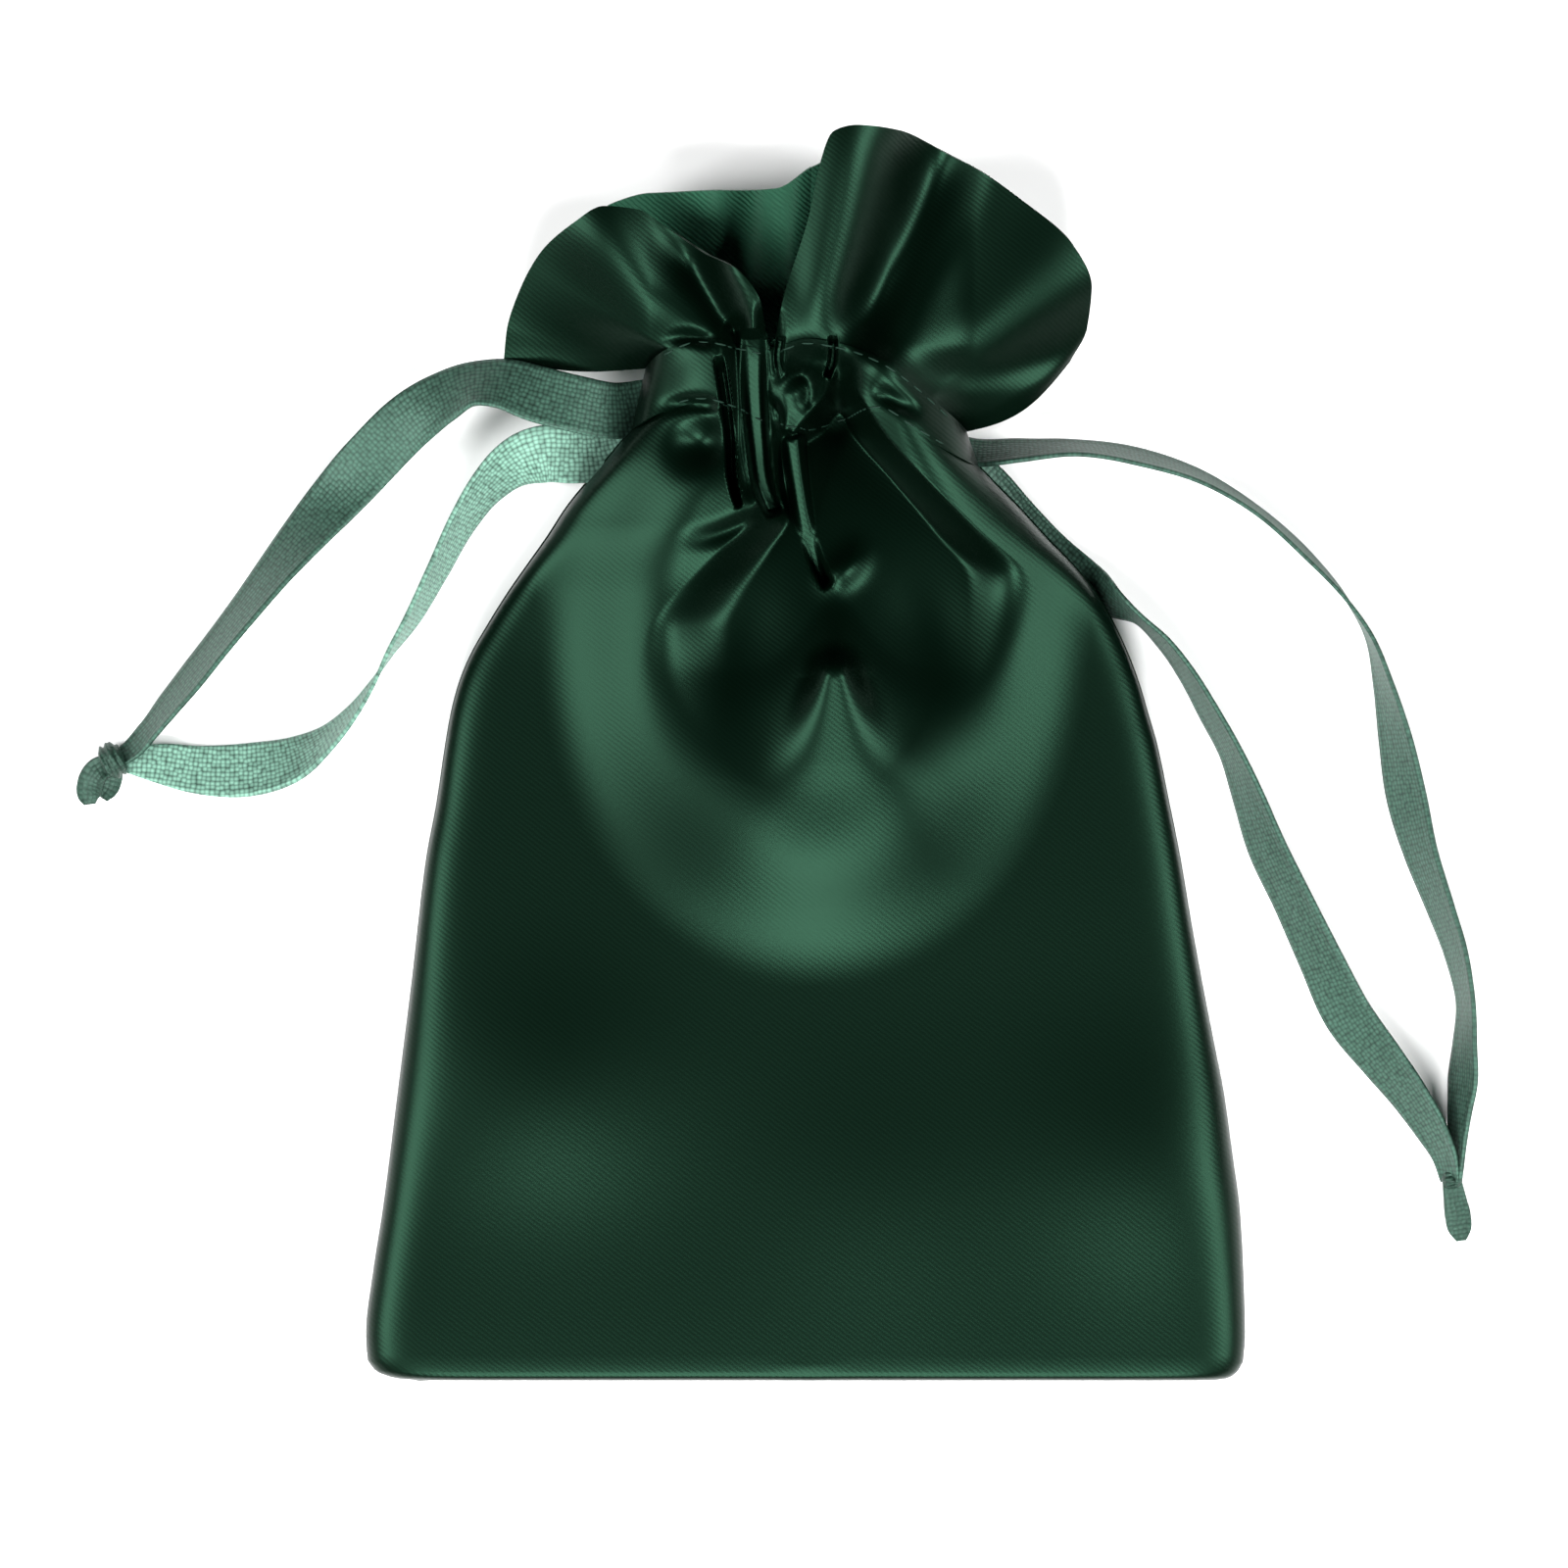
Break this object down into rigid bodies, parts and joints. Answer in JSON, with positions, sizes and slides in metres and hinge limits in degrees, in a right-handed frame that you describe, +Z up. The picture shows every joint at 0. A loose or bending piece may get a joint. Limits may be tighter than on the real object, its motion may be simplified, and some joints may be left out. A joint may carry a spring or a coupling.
{
  "type": "fabric gift sack",
  "caption": "Small satin drawstring gift sack lying on its back, neck gathered by two opposed ribbons into a flared frill, rounded bottom corners.",
  "frame": {"origin": "on the surface the sack lies on, under the middle of the cloth's bounding box", "axes": "+Z up from the surface, +Y from the bottom edge to the mouth, +X to the right seen from the front"},
  "size_m": [0.1593, 0.142, 0.0178],
  "materials": {
    "satin": "dark green woven satin, smooth sheen",
    "satin_inside": "dull back of the satin with a fine twill",
    "ribbon": "woven ribbon with a soft sheen and selvedges",
    "thread": "sewing thread in the cloth's own green"
  },
  "bodies": {
    "sack": {"front_panel": "satin", "back_panel": "satin", "left_seam_allowance": "satin_inside", "right_seam_allowance": "satin_inside", "bottom_seam_allowance": "satin_inside", "front_centre_pleats": "satin", "back_centre_pleats": "satin", "front_centre_frill": "satin", "back_centre_frill": "satin"},
    "left_drawstring": {"left_ribbon_front": "ribbon", "left_ribbon_back": "ribbon", "left_ribbon_loop": "ribbon", "left_knot": "ribbon", "right_casing_front": "satin", "right_casing_back": "satin", "right_frill_front": "satin", "right_frill_back": "satin", "right_casing_stitches": "thread"},
    "right_drawstring": {"right_ribbon_front": "ribbon", "right_ribbon_back": "ribbon", "right_ribbon_loop": "ribbon", "right_knot": "ribbon", "left_casing_front": "satin", "left_casing_back": "satin", "left_frill_front": "satin", "left_frill_back": "satin", "left_casing_stitches": "thread"}
  },
  "joints": [
    {"name": "left_pull", "type": "slide", "parent": "sack", "child": "left_drawstring", "axis": [-1, 0, 0], "range_m": [0, 0.006], "deforming": ["front_centre_pleats", "back_centre_pleats", "front_centre_frill", "back_centre_frill"]},
    {"name": "right_pull", "type": "slide", "parent": "sack", "child": "right_drawstring", "axis": [1, 0, 0], "range_m": [0, 0.006], "deforming": ["front_centre_pleats", "back_centre_pleats", "front_centre_frill", "back_centre_frill"]}
  ]
}
